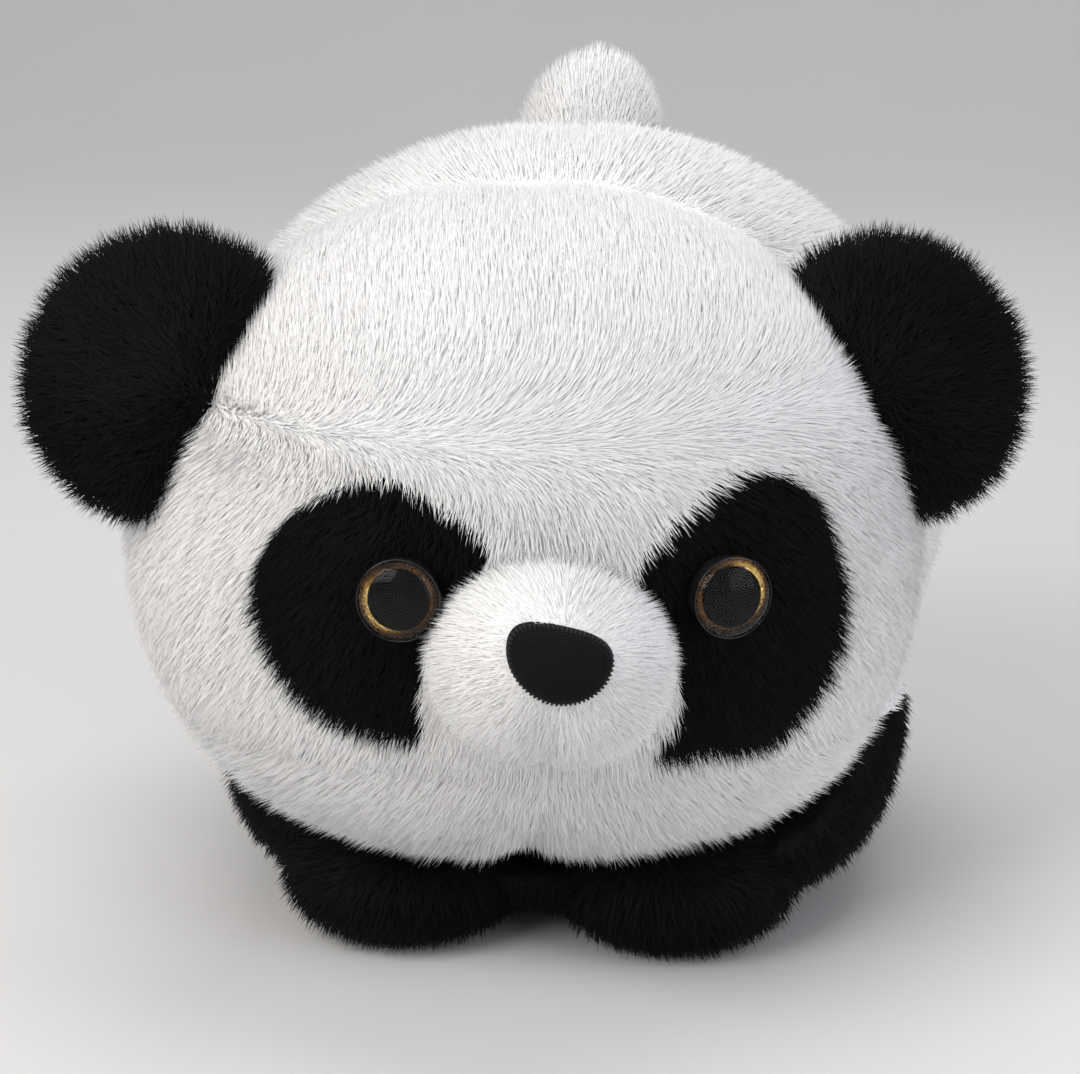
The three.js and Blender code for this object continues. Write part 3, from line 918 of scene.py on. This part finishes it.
# The outline of the nose, from its lowest point round by the left
def noseOutline(steps=16):
    wide, high = noseSpec["width"] / 2, noseSpec["height"] / 2
    corner = (wide, 0.25 * high)
    lowCurve = [(0, -high), (wide * 0.45, -high), (wide, -0.5 * high), corner]
    highCurve = [corner, (wide, 0.85 * high), (wide * 0.6, high), (0, high)]
    right = []
    for a, b, c, d in (lowCurve, highCurve):
        for step in range(steps):
            t = step / steps
            weights = ((1 - t) ** 3, 3 * t * (1 - t) ** 2, 3 * t * t * (1 - t), t ** 3)
            right.append([sum(w * q[axis] for w, q in zip(weights, (a, b, c, d))) for axis in (0, 1)])
    flat = np.array(right + [[0, high]] + [[-x, z] for x, z in right[:0:-1]])
    tilt = math.radians(noseSpec["tilt"])
    x = flat[:, 0] * math.cos(tilt) + flat[:, 1] * math.sin(tilt)
    z = flat[:, 1] * math.cos(tilt) - flat[:, 0] * math.sin(tilt)
    return np.stack([x + noseSpec["across"], z + noseSpec["up"]], 1)


def tangent(flow, normals):
    along = flow - normals * (flow * normals).sum(1)[:, None]
    return along / np.maximum(np.linalg.norm(along, axis=1), 1e-6)[:, None]


# Down the face, turning aside over the brow and back over the crown
def headFlow(p):
    turned = smoothStep(12, 66, p[:, 2])
    angle = (turned - 0.5) * math.pi
    return np.stack([p[:, 0] / 95 * (1 - turned) + 0.9 * np.cos(angle), 0.5 * turned - 0.1, np.sin(angle)], 1)


def chinFlow(p):
    fromCleft = p[:, 0] + 1
    aside = fromCleft / 45 + np.sign(fromCleft) * 0.25
    return np.stack([aside, np.full(len(p), 0.35), np.full(len(p), -0.8)], 1)


def muzzleFlow(p):
    return np.stack([p[:, 0] + 4 * np.sign(p[:, 0]), 0.4 * (p[:, 1] + 24), p[:, 2] - noseSpec["up"] - 3], 1)


def backFlow(p):
    return np.stack([p[:, 0] / 160, np.full(len(p), 0.75), np.full(len(p), -0.55)], 1)


def downFlow(p):
    return np.stack([p[:, 0] / 140, np.full(len(p), 0.15), np.full(len(p), -1.0)], 1)


def earFlow(side):
    return lambda p: np.stack([side * (0.5 + p[:, 0] * side / 30), np.zeros(len(p)), p[:, 2] / 24], 1)


def tailFlow(p):
    return np.stack([p[:, 0] / 60, p[:, 1] / 60, np.full(len(p), 1.0)], 1)


def aroundEyes(p):
    near = np.full(len(p), 1e9)
    for _, side in sides:
        eye = (headPose.inverted() @ eyePose(side)).translation
        near = np.minimum(near, np.hypot(p[:, 0] - eye.x, p[:, 2] - eye.z) + 50 * (p[:, 1] > 0))
    return np.where(near < 9.4, 0.0, 0.6 + 0.4 * smoothStep(9.5, 15, near))


def headReach(p):
    cleft = 1 - 0.3 * np.exp(-((p[:, 0] + 1) / 3.0) ** 2) * smoothStep(-46, -62, p[:, 2])
    pressed = 1 - 0.55 * smoothStep(15, 40, p[:, 1])
    return cleft * pressed * aroundEyes(p) * smoothStep(-2, 6, opening(p))


noseLine = noseOutline()


def muzzleReach(p):
    away = polygonDistance(noseLine, p[:, 0], p[:, 2]) + 60 * (p[:, 1] > -6)
    behind = smoothStep(16, 6, p[:, 1])
    parting = 1 - 0.4 * np.exp(-(p[:, 0] / 1.8) ** 2) * smoothStep(-2, -6, p[:, 2])
    return np.where(away < -1.0, 0.0, 0.7 + 0.3 * smoothStep(0, 5, away)) * behind * parting


def bodyReach(p):
    aboveSeam = p[:, 2] - blackTop
    shortAtSeam = np.where(aboveSeam > -0.5, 0.5 + 0.5 * smoothStep(0, 12, aboveSeam), 1)
    return smoothStep(1.01, 1.06, roomShare(p)) * shortAtSeam


def fullReach(p):
    return np.ones(len(p))


def earReach(side):
    return lambda p: smoothStep(-15, -9, p[:, 0] * side)


pileSpec = {
    "white": {"Length": 6.2, "Width": 0.19, "Density": 2.2, "Clump": 0.7, "Wild": 0.3, "lie": 1.7},
    "face": {"Length": 6.8, "Width": 0.19, "Density": 2.1, "Clump": 0.9, "Wild": 0.35, "lie": 1.5},
    "chin": {"Length": 7.6, "Width": 0.21, "Density": 1.85, "Clump": 1.3, "Wild": 0.4, "lie": 1.3},
    "patch": {"Length": 6.8, "Width": 0.20, "Density": 2.4, "Clump": 0.9, "Wild": 0.45, "lie": 1.1},
    "muzzle": {"Length": 4.8, "Width": 0.16, "Density": 3.0, "Clump": 0.6, "Wild": 0.3, "lie": 1.0},
    "black": {"Length": 6.6, "Width": 0.27, "Density": 1.0, "Clump": 0.8, "Wild": 0.4, "lie": 1.3},
    "back": {"Length": 7.0, "Width": 0.25, "Density": 1.05, "Clump": 0.5, "Wild": 0.3, "lie": 1.6},
    "ear": {"Length": 7.6, "Width": 0.24, "Density": 2.2, "Clump": 1.5, "Wild": 0.5, "lie": 0.6},
    "tail": {"Length": 6.0, "Width": 0.22, "Density": 1.9, "Clump": 0.7, "Wild": 0.3, "lie": 1.3},
}
clothThick = 2.0
fillingUnder = 2.6


def camel(node):
    first, *rest = node.split("_")
    return first + "".join(word.capitalize() for word in rest)


def kindOf(label):
    if label.startswith("chin"):
        return "chin", chinFlow, headReach
    if label.startswith("cheek"):
        return "face", headFlow, headReach
    if label.startswith("forehead"):
        return "white", headFlow, headReach
    if label.startswith("eye_patch"):
        return "patch", headFlow, headReach
    if label.startswith("muzzle"):
        return "muzzle", muzzleFlow, muzzleReach
    if label.startswith("back"):
        return "back", backFlow, bodyReach
    if label.startswith("ear"):
        side = 1 if label.endswith("left") else -1
        return "ear", earFlow(side), earReach(side)
    if label.startswith("tail"):
        return "tail", tailFlow, fullReach
    return "black", downFlow, bodyReach if "panel" in label else fullReach


isWhite = ("forehead", "cheek", "chin", "muzzle", "back", "tail")


def bendOf(bodyName):
    side = 1 if bodyName.endswith("left") else -1
    if bodyName.startswith("ear"):
        pose = earPose(side)
        return "head", pose @ Vector((side * -12.0, 0, 0)), pose @ Vector((side * 9.0, 0, 0))
    if bodyName == "tail":
        return "body", tailPose @ Vector((0, 0, -6)), tailPose @ Vector((0, 0, 12))
    if bodyName.startswith("front_leg"):
        return "body", placed(side * 39, 38, 17), placed(side * 39, 14, 17)
    if bodyName.startswith("rear_leg"):
        return "body", placed(side * 46, 136, 54), placed(side * 46, 136, 24)
    return None


def goesWith(piece, bodyName):
    bend = bendOf(bodyName)
    if bend is None:
        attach(piece, bodyName)
    else:
        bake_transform(piece)


bodyOfForm = {"head": "head", "body": "body", "muzzle": "head", "tail": "tail"}


# The pile of one panel; the big forehead panel's pile is grown in two halves
def addPile(label, form, local, normals, faces, seed):
    kind, flow, reach = kindOf(label)
    spec = dict(pileSpec[kind])
    material = whitePile if label.startswith(isWhite) else blackPile
    spin = np.array(form["pose"].to_3x3()) * 1000
    onLeft = local[faces].mean(1)[:, 0] > 0
    shares = {"Pile": np.ones(len(faces), bool)}
    if label == "forehead_panel":
        shares = {"PileLeft": onLeft, "PileRight": ~onLeft}
    lieShare = spec.pop("lie")
    piles = []
    for number, (ending, share) in enumerate(shares.items()):
        used, again = np.unique(faces[share], return_inverse=True)
        ground = addObject("pileGround", moved(local[used], form["pose"]), again.reshape(-1, 4))
        ground.data.shade_smooth()
        lie = tangent(flow(local[used]) @ spin.T, normals[used]) * lieShare
        ground.data.attributes.new("lie", "FLOAT_VECTOR", "POINT").data.foreach_set("vector", lie.ravel())
        ground.data.attributes.new("reach", "FLOAT", "POINT").data.foreach_set("value", reach(local[used]))
        piles.append(growPile(
            ground, camel(label) + ending, seed + 50 * number, material, Length=spec["Length"] * mm,
            Width=spec["Width"] * mm * 1.0,
            Density=spec["Density"] * 1e6 * 1.0,
            Clump=spec["Clump"], Wild=spec["Wild"],
        ))
        bpy.data.objects.remove(ground)
    return piles


def addPanels(name, form, seed):
    local, normals, corners, names, code = seamedForm(form)
    bodyName = bodyOfForm.get(name, name)
    count = 0
    for number, label in enumerate(names):
        if not label:
            continue
        white = label.startswith(isWhite)
        faces = corners[code == number]
        piles = addPile(label, form, local, normals, faces, seed + number)
        used, again = np.unique(faces, return_inverse=True)
        backing = whiteBacking if white else blackBacking
        packed = moved(local[used], form["pose"])
        cloth = addObject(camel(label) + "Cloth", packed, again.reshape(-1, 4), [backing])
        cloth.data.shade_smooth()
        thick = cloth.modifiers.new("thick", "SOLIDIFY")
        thick.thickness = clothThick * mm
        thick.offset = -1
        applied(cloth)
        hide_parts(label)
        for piece in (cloth, *piles):
            goesWith(piece, bodyName)
        sizes = [len(pile.data.polygons) for pile in piles] + [len(cloth.data.polygons) * 2]
        count += sum(sizes)
        print("panel", label, "triangles", sizes)
    return count


def addFilling(name, form):
    points, normals, faces = form["coarse"]
    if name == "body":
        gap = np.array(bodySpec["socket"]) + bodySpec["fillingGap"]
        room = ballForm("room", ellipsoidShape(headMiddle, gap), bodyPose)
        wad = cutAway(addObject("wad", points, faces), room)
        smoothed(remeshed(wad, bodySpec["voxel"]), 2)
        points, normals, faces = pointsOf(wad.data), normalsOf(wad.data), facesOf(wad.data)
        bpy.data.objects.remove(wad)
    local = moved(points - normals * fillingUnder * mm, form["pose"].inverted())
    if name == "head":
        far = np.linalg.norm(local, axis=1)
        fromAxis = np.arctan2(np.hypot(local[:, 0], local[:, 2]), local[:, 1])
        inHole = fromAxis < math.radians(headSpec["neckHollow"])
        local *= np.where(inHole, np.minimum(far, headSpec["neckDeep"]) / far, 1)[:, None]
    stuffing = addObject(camel(name) + "Filling", moved(local, form["pose"]), faces, [filling])
    stuffing.data.shade_smooth()
    node = {"ear": f"ear_stuffing_{name[4:]}"}.get(name[:3], f"{name}_stuffing")
    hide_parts(node)
    goesWith(stuffing, bodyOfForm.get(name, name))


count = 0
for number, (name, form) in enumerate(forms.items()):
    addFilling(name, form)
    count += addPanels(name, form, 100 * (number + 1))
    bpy.data.objects.remove(form["piece"])
print("panels and pile made,", count, "triangles")


# Eyes, turned on a lathe: a black cup with its stem, a glitter ring, a pupil and a clear dome

def turnedPiece(name, profile, pose, material, steps=56):
    profile = np.array(profile, float)
    points, faces, rows = [], [], []
    for radius, height in profile:
        if radius < 1e-6:
            rows.append([len(points)] * steps)
            points.append((0, 0, height))
            continue
        rows.append(list(range(len(points), len(points) + steps)))
        for step in range(steps):
            angle = 2 * math.pi * step / steps
            points.append((radius * math.cos(angle), radius * math.sin(angle), height))
    closed = profile[0][0] > 1e-6
    order = list(range(len(rows))) + ([0] if closed else [])
    for a, b in zip(order, order[1:]):
        for step in range(steps):
            after = (step + 1) % steps
            corners = [rows[a][step], rows[a][after], rows[b][after], rows[b][step]]
            corners = [corner for at, corner in enumerate(corners) if corner not in corners[:at]]
            faces.append(corners)
    piece = addObject(name, moved(np.array(points), pose), faces, [material])
    shaped = bmesh.new()
    shaped.from_mesh(piece.data)
    bmesh.ops.recalc_face_normals(shaped, faces=shaped.faces)
    shaped.to_mesh(piece.data)
    shaped.free()
    piece.data.shade_smooth()
    return piece


eyeShape = {
    "sunk": 1.0, "cup": 10.1, "dome": 9.7, "pupil": 7.2, "iris": (6.9, 9.55),
    # The two angles at the end give the side of each ring's painted highlight
    "domeFoot": 4.0, "domeTop": 8.4, "brightLeft": 25.0, "brightRight": 205.0,
}


# Painted highlight on the glitter ring: a painted shine along its inner edge, and a wide painted highlight on
# one fixed side, standing for the light the ring catches
def addPaintedShine(ring, pose, bright):
    local = moved(pointsOf(ring.data), pose.inverted())
    inner, outer = eyeShape["iris"]
    share = (np.hypot(local[:, 0], local[:, 1]) - inner) / (outer - inner)
    facing = np.cos(np.arctan2(local[:, 1], local[:, 0]) - math.radians(bright))
    # painted shine along the inner edge, stronger towards and opposite the painted highlight's side
    thin = (0.2 + 0.4 * facing ** 2) * np.exp(-(share / 0.3) ** 2)
    # wide painted highlight on the side the angle points to
    wide = np.clip(facing, 0, 1) ** 1.5 * np.exp(-((share - 0.3) / 0.4) ** 2)
    ring.data.attributes.new("glow", "FLOAT", "POINT").data.foreach_set("value", np.clip(thin + wide, 0, 1))


def addEye(sideName, side):
    spec = eyeShape
    pose = eyePose(side) @ Matrix.Translation((0, 0, -spec["sunk"]))
    cup = spec["cup"]
    cupProfile = [
        (0, -14.5), (2.1, -14.5), (2.4, -14.1), (2.4, -0.8), (3.0, -0.2), (cup - 0.8, -0.2), (cup, 0.5),
        (cup, 4.7), (cup - 0.12, 4.95), (cup - 0.28, 4.7), (cup - 0.33, 1.9), (cup - 0.6, 1.7), (0, 1.7),
    ]
    inner, outer = spec["iris"]
    irisProfile = [(inner + (outer - inner) * at / 7, 3.15 - 0.65 * at / 7) for at in range(8)]
    irisProfile += [(outer, 2.2), (inner, 2.4)]
    pupil = spec["pupil"]
    pupilProfile = [
        (0, 3.9), (pupil * 0.5, 3.84), (pupil * 0.85, 3.7), (pupil - 0.15, 3.6), (pupil, 3.45),
        (pupil - 0.1, 3.3), (0, 3.3),
    ]
    foot, top = spec["domeFoot"], spec["domeTop"]
    crown = []
    for step in range(17):
        angle = math.pi / 2 * step / 16
        radius = spec["dome"] * math.cos(angle) if step < 16 else 0
        crown.append((radius, foot + (top - foot) * math.sin(angle)))
    domeProfile = [(0, foot), (8.5, foot - 0.02), (9.3, foot - 0.15), (9.6, foot - 0.15)] + crown
    word = sideName.capitalize()
    made = (
        ("eye_stem_", turnedPiece("eyeCup" + word, cupProfile, pose, eyeBlack), "eye_black"),
        ("eye_iris_", turnedPiece("eyeRing" + word, irisProfile, pose, eyeGlitter), "eye_glitter"),
        ("eye_pupil_", turnedPiece("eyePupil" + word, pupilProfile, pose, pupilBlack), "eye_black"),
        ("eye_lens_", turnedPiece("eyeClear" + word, domeProfile, pose, eyeDome), "eye_dome"),
    )
    # Paint the highlight and shine onto the glitter ring
    addPaintedShine(made[1][1], pose, spec["bright" + word])
    for start, piece, slotName in made:
        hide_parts(start + sideName)
        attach(piece, "head")


for sideName, side in sides:
    addEye(sideName, side)
print("eyes made")


# Nose: a knit pad drawn tight over its filling, with stitches round the edge

def muzzleSurface(x, z, under):
    halfX, halfY, halfZ = np.array(muzzleSpec["half"]) - under
    return -halfY * np.sqrt(np.maximum(1 - (x / halfX) ** 2 - (z / halfZ) ** 2, 0.02))


def addNose():
    spec = noseSpec
    outline = noseLine
    middle = np.array((spec["across"], spec["up"]))
    count, rings = len(outline), spec["rings"]
    points, faces = [], []
    for ring in range(rings):
        share = 1 - ring / rings
        flat = middle + (outline - middle) * share
        bulge = spec["thick"] * (1 - share ** 5) ** 0.5
        front = muzzleSurface(flat[:, 0], flat[:, 1], muzzleSpec["under"] - 0.6) - bulge
        points += [(x, y, z) for (x, z), y in zip(flat, front)]
    top = muzzleSurface(middle[0], middle[1], muzzleSpec["under"] - 0.6) - spec["thick"]
    points.append((middle[0], top, middle[1]))
    for ring in range(rings - 1):
        for step in range(count):
            after = (step + 1) % count
            outer, inner = ring * count, (ring + 1) * count
            faces.append((outer + step, outer + after, inner + after, inner + step))
    last = (rings - 1) * count
    faces += [(last + step, last + (step + 1) % count, len(points) - 1) for step in range(count)]
    inner = len(points)
    tucked = middle + (outline - middle) * 0.93
    behind = muzzleSurface(tucked[:, 0], tucked[:, 1], muzzleSpec["under"] + 1.0)
    points += [(x, y, z) for (x, z), y in zip(tucked, behind)]
    faces += [(step, inner + step, inner + (step + 1) % count, (step + 1) % count) for step in range(count)]
    points.append((middle[0], -19.0, middle[1]))
    faces += [(inner + step, len(points) - 1, inner + (step + 1) % count) for step in range(count)]
    nose = addObject("noseKnitCover", moved(np.array(points), muzzlePose), faces, [noseKnit])
    shaped = bmesh.new()
    shaped.from_mesh(nose.data)
    bmesh.ops.recalc_face_normals(shaped, faces=shaped.faces)
    shaped.to_mesh(nose.data)
    shaped.free()
    nose.data.shade_smooth()
    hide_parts("nose_cover", "nose_pad")
    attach(nose, "head")


addNose()


# One short stitch of thread set at each point of a line, across its edge
def makeStitchTree():
    tree = bpy.data.node_groups.new("stitches", "GeometryNodeTree")
    face = tree.interface
    face.new_socket("Line", in_out="INPUT", socket_type="NodeSocketGeometry")
    for name, value in (("Thick", 0.0003), ("Long", 0.0009)):
        face.new_socket(name, in_out="INPUT", socket_type="NodeSocketFloat").default_value = value
    face.new_socket("Finish", in_out="INPUT", socket_type="NodeSocketMaterial")
    face.new_socket("Stitches", in_out="OUTPUT", socket_type="NodeSocketGeometry")
    nodes, links = tree.nodes, tree.links
    given = nodes.new("NodeGroupInput").outputs
    done = nodes.new("NodeGroupOutput").inputs
    stitch = nodes.new("GeometryNodeMeshUVSphere")
    stitch.inputs["Segments"].default_value = 8
    stitch.inputs["Rings"].default_value = 5
    stitch.inputs["Radius"].default_value = 1
    across = nodes.new("GeometryNodeInputNamedAttribute")
    across.data_type = "FLOAT_VECTOR"
    across.inputs["Name"].default_value = "across"
    aim = nodes.new("FunctionNodeAlignRotationToVector")
    aim.axis = "Z"
    links.new(across.outputs["Attribute"], aim.inputs["Vector"])
    size = nodes.new("ShaderNodeCombineXYZ")
    for axis, name in (("X", "Thick"), ("Y", "Thick"), ("Z", "Long")):
        links.new(given[name], size.inputs[axis])
    sew = nodes.new("GeometryNodeInstanceOnPoints")
    links.new(given["Line"], sew.inputs["Points"])
    links.new(stitch.outputs["Mesh"], sew.inputs["Instance"])
    links.new(aim.outputs[0], sew.inputs["Rotation"])
    links.new(size.outputs[0], sew.inputs["Scale"])
    real = nodes.new("GeometryNodeRealizeInstances")
    links.new(sew.outputs[0], real.inputs["Geometry"])
    smooth = nodes.new("GeometryNodeSetShadeSmooth")
    links.new(real.outputs[0], smooth.inputs["Geometry"])
    finish = nodes.new("GeometryNodeSetMaterial")
    links.new(smooth.outputs[0], finish.inputs["Geometry"])
    links.new(given["Finish"], finish.inputs["Material"])
    links.new(finish.outputs[0], done["Stitches"])
    return tree


stitchSpec = {"count": 62, "thick": 0.34, "long": 0.8, "inwards": 0.965}


def addNoseStitches(spec):
    closed = np.vstack([noseLine, noseLine[:1]])
    along = np.append(0, np.cumsum(np.hypot(*np.diff(closed, axis=0).T)))
    steps = np.linspace(0, along[-1], spec["count"], endpoint=False)
    flat = np.stack([np.interp(steps, along, closed[:, axis]) for axis in (0, 1)], 1)
    middle = np.array((noseSpec["across"], noseSpec["up"]))
    outwards = (flat - middle) / np.linalg.norm(flat - middle, axis=1)[:, None]
    flat = middle + (flat - middle) * spec["inwards"]
    bulge = noseSpec["thick"] * (1 - spec["inwards"] ** 5) ** 0.5
    front = muzzleSurface(flat[:, 0], flat[:, 1], muzzleSpec["under"] - 0.6) - bulge
    line = addObject("noseStitches", moved(np.stack([flat[:, 0], front, flat[:, 1]], 1), muzzlePose), [])
    across = np.stack([outwards[:, 0], np.full(len(flat), 1.3), outwards[:, 1]], 1)
    across = across @ np.array(muzzlePose.to_3x3()).T / mm
    line.data.attributes.new("across", "FLOAT_VECTOR", "POINT").data.foreach_set("vector", across.ravel())
    tree = makeStitchTree()
    sockets = {item.name: item.identifier for item in tree.interface.items_tree if item.in_out == "INPUT"}
    sewing = line.modifiers.new("stitches", "NODES")
    sewing.node_group = tree
    sewing[sockets["Thick"]] = spec["thick"] * mm
    sewing[sockets["Long"]] = spec["long"] * mm
    sewing[sockets["Finish"]] = noseThread
    applied(line)
    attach(line, "head")


addNoseStitches(stitchSpec)
print("nose made")


# The CAD nodes that stay: washers behind the eyes, and the wad of stuffing in the neck
for node, piece in frame["nodes"].items():
    material = washerPlastic if "washer" in node else filling
    for slotOfNode in piece.material_slots:
        slotOfNode.link = "OBJECT"
        slotOfNode.material = material


# Floor and light
floorSpec = {"colour": (0.74, 0.73, 0.72), "half": 4.0, "start": 1.2, "rise": 1.4}


def addFloor(spec):
    material, nodes, links, shader = makeMaterial("floor", Roughness=0.7, Specular_IOR_Level=0.2)
    place = nodes.new("ShaderNodeTexCoord").outputs["Object"]
    dark = tuple(value * 0.985 for value in spec["colour"])
    cloudy = addNoise(nodes, links, place, 9, 4)
    colour = addRamp(nodes, links, cloudy, [(0.3, dark), (0.7, spec["colour"])])
    links.new(colour, shader.inputs["Base Color"])
    half, rise, start = spec["half"], spec["rise"], spec["start"]
    section = [(-half, 0), (start, 0)]
    for angle in np.linspace(0.1, math.pi / 2, 14):
        section.append((start + rise * math.sin(angle), rise * (1 - math.cos(angle))))
    section.append((start + rise, half))
    points = [(x, y, z) for y, z in section for x in (-half, half)]
    faces = [(2 * at, 2 * at + 1, 2 * at + 3, 2 * at + 2) for at in range(len(section) - 1)]
    sweep = addObject("studioSweep", points, faces, [material])
    sweep.data.shade_smooth()


addFloor(floorSpec)

lightSpec = {
    "key": {"at": (-0.75, -1.0, 0.95), "size": 0.9, "power": 16.0, "colour": (1.0, 0.97, 0.935)},
    "fill": {"at": (1.2, -0.8, 0.6), "size": 1.1, "power": 8.0, "colour": (0.90, 0.94, 1.0)},
    "top": {"at": (0.1, 0.35, 1.5), "size": 1.2, "power": 9.5, "colour": (1.0, 1.0, 1.0)},
}


def addLights(spec):
    for name, light in spec.items():
        lamp = bpy.data.objects.new(name + "Light", bpy.data.lights.new(name + "Light", "AREA"))
        bpy.context.scene.collection.objects.link(lamp)
        lamp.location = light["at"]
        lamp.rotation_euler = (Vector(light["at"]) - Vector((0, 0, 0.1))).to_track_quat("Z", "Y").to_euler()
        lamp.data.shape = "SQUARE"
        lamp.data.size = light["size"]
        lamp.data.energy = light["power"]
        lamp.data.color = light["colour"]
    world = bpy.data.worlds.new("studio")
    world.use_nodes = True
    world.node_tree.nodes["Background"].inputs["Color"].default_value = (0.93, 0.95, 1.0, 1)
    world.node_tree.nodes["Background"].inputs["Strength"].default_value = 0.40
    bpy.context.scene.world = world
    bpy.context.scene.view_settings.view_transform = "Standard"


addLights(lightSpec)
print("floor and lights made")
